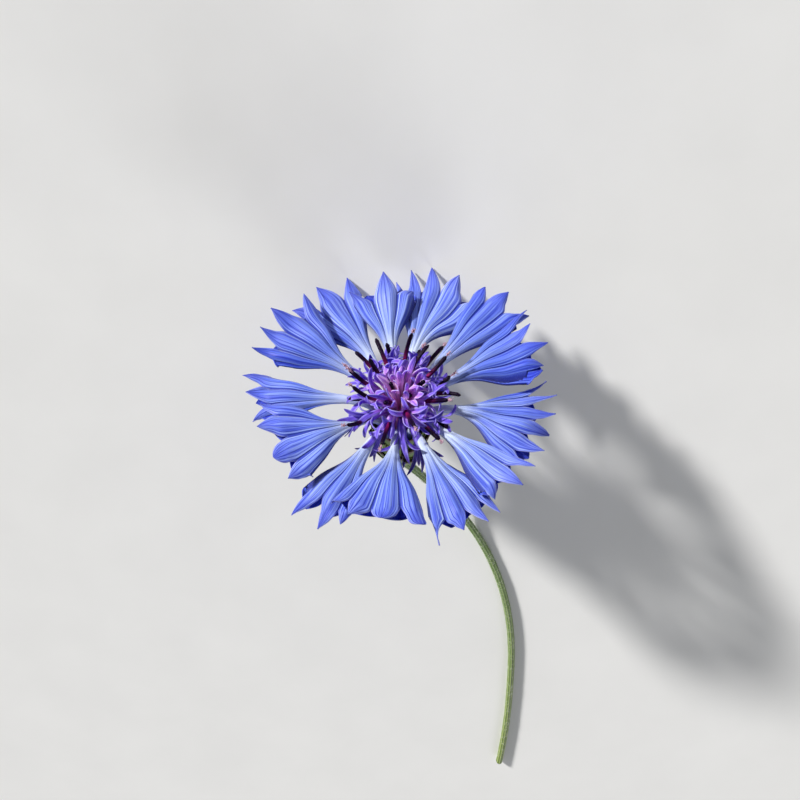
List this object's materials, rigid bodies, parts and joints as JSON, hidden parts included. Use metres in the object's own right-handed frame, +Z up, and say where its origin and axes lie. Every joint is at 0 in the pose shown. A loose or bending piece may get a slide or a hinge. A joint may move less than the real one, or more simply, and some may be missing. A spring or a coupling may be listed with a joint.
{
  "type": "cornflower",
  "caption": "Picked cornflower lying on its side: blue lobed ray florets round a violet disc with dark anthers, a green scaly cup of bracts and a slender curved cut stem.",
  "frame": {"origin": "middle of the footprint, on the surface that the flower lies on", "axes": "+Z up; the flower faces -Y and upwards, and its stem runs back along +Y, the longest way"},
  "size_m": [0.0484, 0.1184, 0.0395],
  "materials": {
    "ray_floret": "soft petal, cornflower blue, paler at the throat",
    "disc_floret": "soft petal, violet to pink",
    "anther": "satin, nearly black purple",
    "bract": "green leaf scale with a brown fringed edge",
    "receptacle": "matte pale green",
    "stem": "ribbed grey-green stalk with fine white wool"
  },
  "bodies": {
    "root": {"ray_floret_01": "ray_floret", "ray_floret_02": "ray_floret", "ray_floret_03": "ray_floret", "ray_floret_04": "ray_floret", "ray_floret_05": "ray_floret", "ray_floret_06": "ray_floret", "ray_floret_07": "ray_floret", "ray_floret_08": "ray_floret", "ray_floret_09": "ray_floret", "ray_floret_10": "ray_floret", "ray_floret_11": "ray_floret", "ray_floret_12": "ray_floret", "ray_floret_13": "ray_floret", "disc_floret_01": "disc_floret", "disc_floret_02": "disc_floret", "disc_floret_03": "disc_floret", "disc_floret_04": "disc_floret", "disc_floret_05": "disc_floret", "disc_floret_06": "disc_floret", "disc_floret_07": "disc_floret", "disc_floret_08": "disc_floret", "disc_floret_09": "disc_floret", "disc_floret_10": "disc_floret", "disc_floret_11": "disc_floret", "disc_floret_12": "disc_floret", "disc_floret_13": "disc_floret", "disc_floret_14": "disc_floret", "disc_floret_15": "disc_floret", "disc_floret_16": "disc_floret", "disc_floret_17": "disc_floret", "disc_floret_18": "disc_floret", "disc_floret_19": "disc_floret", "disc_floret_20": "disc_floret", "disc_floret_21": "disc_floret", "disc_floret_22": "disc_floret", "disc_floret_23": "disc_floret", "disc_floret_24": "disc_floret", "disc_floret_25": "disc_floret", "disc_floret_26": "disc_floret", "disc_floret_27": "disc_floret", "disc_floret_28": "disc_floret", "disc_floret_29": "disc_floret", "disc_floret_30": "disc_floret", "phyllary_row_1": "bract", "phyllary_row_2": "bract", "phyllary_row_3": "bract", "phyllary_row_4": "bract", "phyllary_row_5": "bract", "receptacle": "receptacle", "stem": "stem"}
  },
  "joints": []
}
